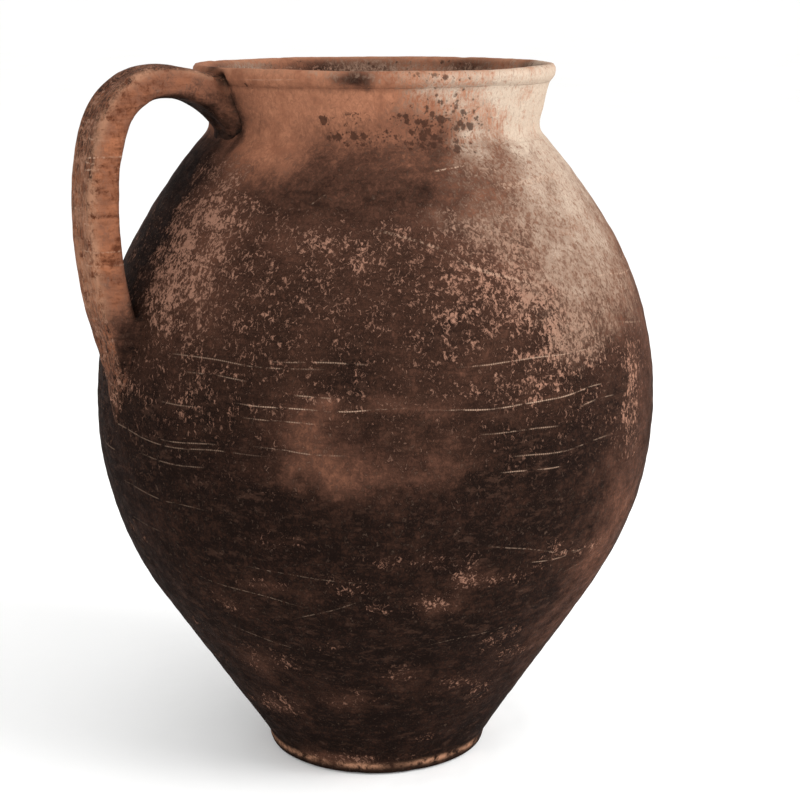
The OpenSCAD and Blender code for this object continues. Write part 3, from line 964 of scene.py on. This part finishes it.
def strap_point(along, angle):
    """The strap's surface: the path's middle, plus a superellipse in the plane across the path, less
    the thumb's groove on the outer face. along is a length, angle runs round from the outer face."""
    middle = flow(strap_knots, strap_table, along)
    ahead = flow(strap_knots, strap_table, along + 0.2 * MM)[..., :2] - middle[..., :2]
    ahead /= np.linalg.norm(ahead, axis=-1)[..., None]
    cosine, sine = np.cos(angle), np.sin(angle)
    across = np.sign(sine) * np.abs(sine) ** CORNER_POWER * middle[..., 2] / 2
    outward = np.sign(cosine) * np.abs(cosine) ** CORNER_POWER * middle[..., 3] / 2
    groove = 0.7 * MM * np.exp(-((across + 2 * MM) / (6 * MM)) ** 2)
    ridge = 0.35 * MM * np.sin(across / (3.1 * MM) + along / (40 * MM))
    outward = outward - np.clip(cosine, 0, 1) ** 0.4 * groove - np.abs(cosine) * ridge * 0.5
    distance = middle[..., 0] - ahead[..., 1] * outward
    height = middle[..., 1] + ahead[..., 0] * outward
    point = np.stack([-distance, across + 0 * distance, height], -1)
    push = 0.16 * waves(point, 26 * MM, 22, 31) + 0.05 * waves(point, 8 * MM, 22, 32)
    unrolled = np.stack([along + 0 * across, 0.3 * across, 0.3 * outward], -1)
    push = push + 0.13 * waves(unrolled, 3.8 * MM, 22, 36) * np.abs(sine) ** 3
    push = np.clip(0.4 + push, 0, 0.9) * MM
    middle_point = np.stack([-middle[..., 0], 0 * distance, middle[..., 1]], -1)
    inward = middle_point - point
    return point + inward / np.linalg.norm(inward, axis=-1)[..., None] * push[..., None]


def strap_layers(along, angle, points):
    """The strap's wear: a dark outer face, bare sides, pale corners, darker towards the belly. The pale
    corners are partly a painted highlight, and the inner face is darkened partly as painted shade.
    """
    share = along / STRAP_LENGTH
    face = np.clip((np.cos(angle) - 0.56) / 0.12, 0, 1)
    inner = np.clip((-np.cos(angle) - 0.25) / 0.5, 0, 1)
    face_soot = np.interp(share, [0, 0.2, 0.4, 0.5, 0.62, 0.76, 0.86, 1],
                          [0.64, 0.72, 0.62, 0.48, 0.3, 0.16, 0.5, 0.85])
    side_soot = np.interp(share, [0, 0.2, 0.36, 0.5, 0.7, 0.8, 0.9],
                          [0.34, 0.3, 0.16, 0.03, 0.04, 0.3, 0.75])
    # The inner face, which looks at the wall, is darker, most under the top of the arch: partly soot and
    # partly painted shade.
    smoke_and_shade = side_soot * (1 - face) + face_soot * face + inner * (0.22 + 0.3 * (share < 0.25))
    smoke_and_shade = smoke_and_shade + waves(points, 20 * MM, 16, 33) * 0.06
    worn = 0.12 + 0.46 * face + waves(points, 14 * MM, 16, 34) * 0.07
    # The corners between the outer face and the sides are made pale: partly rubbed wear, partly a
    # painted highlight along the edge.
    corner = np.exp(-((np.cos(angle) - 0.6) / 0.26) ** 2)
    edge = np.interp(share, [0.1, 0.3, 0.74, 0.84], [0.35, 0.8, 0.8, 0.0])
    rub_and_highlight = corner * edge * (0.9 + 0.2 * waves(points, 22 * MM, 16, 35))
    rub_and_highlight = rub_and_highlight + face * np.interp(share, [0.3, 0.5, 0.78, 0.86], [0.0, 0.25, 0.5, 0.0])
    return dict(zip(LAYERS, (np.clip(smoke_and_shade, 0, 1), np.clip(worn, 0, 1), 0 * rub_and_highlight, 0 * rub_and_highlight,
                             np.clip(rub_and_highlight, 0, 1))))


TOP_STATION = 0.108 * STRAP_LENGTH
LOW_STATION = 0.845 * STRAP_LENGTH
section_angle = full_turn(STRAP_COLUMNS)
strap_along = np.linspace(TOP_STATION, LOW_STATION, STRAP_ROWS)[:, None] + 0 * section_angle
strap_angle = section_angle + 0 * strap_along
strap_grid = strap_point(strap_along, strap_angle)
strap_wear = strap_layers(strap_along, strap_angle, strap_grid)
add_piece("handle", handle_skin, strap_grid, closed_rows=False, layers=strap_wear)

# %% [markdown]
# ## Where the handle is luted on
#
# The ends of a handle don't stop at the wall. The potter wets and wipes the clay outwards, so that the
# strap flares into the neck at the top, and is dragged down in a tongue on the belly. A boolean and a
# bevel would leave a hard ring. Here each flare is a set of curves, one for each point round the strap:
# it leaves the strap in the strap's own direction and lands flat on the wall, and between them it is
# the cubic that does both.

# %% Flares
# Angle round the strap in degrees (0 is the outer face), sideways and height on the wall in mm.
TOP_FOOTPRINT = [
    (0, 0, 348.4), (25, 6, 347.6), (42, 10, 344.6), (60, 14, 339.5), (80, 17, 333.5),
    (100, 19, 326), (118, 19, 320.5), (140, 12.5, 316.5), (160, 6, 315.5), (180, 0, 316),
]
LOW_FOOTPRINT = [
    (0, 0, 177), (20, 3.6, 181), (40, 9, 192), (62, 14.5, 208), (90, 19, 226),
    (122, 19.5, 240), (150, 12, 250), (180, 0, 253),
]
FLARE_ROWS = 36


def footprint(keys, angle):
    """A closed line on the wall: sideways distance and height as smooth functions of the angle."""
    table = np.array(keys, float)
    mirrored = table[::-1][1:-1] * [-1, -1, 1] + [360, 0, 0]
    table = np.concatenate([table, mirrored, table[:1] + [360, 0, 0]])
    table = np.concatenate([table[-3:-1] - [360, 0, 0], table, table[1:3] + [360, 0, 0]])
    found = flow(np.radians(table[:, 0]), table[:, 1:] * MM, angle)
    return found[..., 0], found[..., 1]


def on_wall(sideways, height):
    """The wall's point and outward normal at a sideways distance from the handle's plane."""
    index = np.arange(CREST)
    mark = mark_outside(height)
    radius, out_r, out_z = (np.interp(mark, index, line[:CREST]) for line in (SKIN[:, 0], *OUTWARD.T))
    turn = math.pi - sideways / radius
    point, normal = spin(radius, turn, height), spin(out_r, turn, out_z)
    return point - normal * hollow_depth(point, 0)[..., None], normal


def flare(station, towards, keys, spread, landing):
    """The surface between the strap's ring at a station and its footprint on the wall. Each curve is a
    cubic between two points and two directions. spread and landing scale the two directions."""
    angle = section_angle[0]
    start = strap_point(station + 0 * angle, angle)
    leave = strap_point(station + towards * MM + 0 * angle, angle) - start
    leave /= np.linalg.norm(leave, axis=-1)[:, None]
    end, normal = on_wall(*footprint(keys, angle))
    away = end - end.mean(0)
    away -= normal * (away * normal).sum(-1)[:, None]
    away /= np.linalg.norm(away, axis=-1)[:, None]
    gap = np.linalg.norm(end - start, axis=-1)[:, None]
    land = away - 0.10 * normal
    end = end - normal * 0.7 * MM
    u = np.linspace(0, 1, FLARE_ROWS)[:, None, None]
    points = cubic(u, start, end, leave * gap * spread, land * gap * landing)
    smear = np.sin(math.pi * u[..., 0]) * (0.28 * waves(points, 11 * MM, 24, 41) - 0.2) * MM
    return points + normal * smear[..., None]


def flare_layers(station, points, dark):
    """The wear passes from the strap's to the wall's along the flare. Soot is held in its hollow, a dark
    line marks where it lands, and the underside darkens towards the wall, partly coat and partly painted
    shade under the handle.
    """
    share = np.linspace(0, 1, FLARE_ROWS)[:, None]
    angle = section_angle + 0 * share
    near_strap = strap_layers(station + 0 * angle, angle, points)
    near_wall = dict(zip(LAYERS, (*wear(points), 0 * angle)))
    mix = np.clip((share - 0.35) / 0.6, 0, 1) ** 1.3
    layers = {key: near_strap[key] * (1 - mix) + near_wall[key] * mix for key in LAYERS}
    # The underside is darker towards the wall: partly coat and partly painted shade under the handle.
    under = 0.3 * np.clip(-np.cos(angle) - 0.1, 0, 1) * share
    crack = 0.6 * np.exp(-((share - 0.94) / 0.08) ** 2)
    layers["smoke_and_shade"] = np.clip(layers["smoke_and_shade"] + dark * np.sin(math.pi * share) + crack + under, 0, 1)
    return layers


JOINTS = [
    ("handle_top_joint", TOP_STATION, -1, TOP_FOOTPRINT, 0.9, 0.9, 0.0),
    ("handle_bottom_joint", LOW_STATION, 1, LOW_FOOTPRINT, 1.0, 0.8, 0.26),
]
for node, station, towards, keys, spread, landing, dark in JOINTS:
    points = flare(station, towards, keys, spread, landing)
    layers = flare_layers(station, points, dark)
    add_piece(node, handle_skin, points, closed_rows=False, layers=layers)

# %% [markdown]
# ## Floor and light
#
# The jar stands on a plain pale floor in soft studio light. A white surround lights it from all sides,
# and one large lamp from the right gives the neck its bright side. The pale bloom on that side is partly
# painted light as well.

# %% Stage
FLOOR_SIDE = 60.0


def pale_floor():
    """Matt white board with the faintest cloud in it. A little light of its own keeps it white."""
    g = Graph("pale_floor")
    cloud = g.grain(g.place(), 300, 2).step(-2, 2)
    colour = g.blend(cloud, rgb(0.89, 0.89, 0.885), rgb(0.92, 0.92, 0.915))
    material = g.surface(colour, 0.9, g.grain(g.place(), 40, 2), 0.1 * MM, 0.04)
    shader = g.tree.nodes["Principled BSDF"]
    shader.inputs["Emission Color"].default_value = rgb(1, 1, 1)
    shader.inputs["Emission Strength"].default_value = 0.1
    return material


floor_mesh = bpy.data.meshes.new("floor")
corners = [(-1, -1, 0), (1, -1, 0), (1, 1, 0), (-1, 1, 0)]
floor_mesh.from_pydata([np.array(c) * FLOOR_SIDE for c in corners], [], [(0, 1, 2, 3)])
floor_mesh.materials.append(pale_floor())
floor = bpy.data.objects.new("floor", floor_mesh)
bpy.context.scene.collection.objects.link(floor)

world = bpy.data.worlds.new("studio")
world.use_nodes = True
world.node_tree.nodes["Background"].inputs["Color"].default_value = (1.0, 1.0, 1.0, 1.0)
world.node_tree.nodes["Background"].inputs["Strength"].default_value = 1.0
bpy.context.scene.world = world
bpy.context.scene.view_settings.view_transform = "Standard"


def lamp(name, turn, height, distance, width, power):
    """A square lamp at a turn in degrees from the camera's side, facing the middle of the jar."""
    data = bpy.data.lights.new(name, "AREA")
    data.size = width
    data.energy = power
    made = bpy.data.objects.new(name, data)
    bpy.context.scene.collection.objects.link(made)
    angle = VIEW_TURN + math.radians(turn)
    made.location = (distance * math.sin(angle), -distance * math.cos(angle), height)
    target = np.array([0, 0, JAR_H / 2]) - np.array(made.location)
    made.rotation_euler = (math.atan2(math.hypot(*target[:2]), -target[2]), 0, angle)
    return made


lamp("key", 62, 1.1, 1.6, 1.0, 32)
lamp("front", -20, 1.5, 1.8, 1.4, 8)
print("lamps:", *(light.name for light in bpy.data.lights))
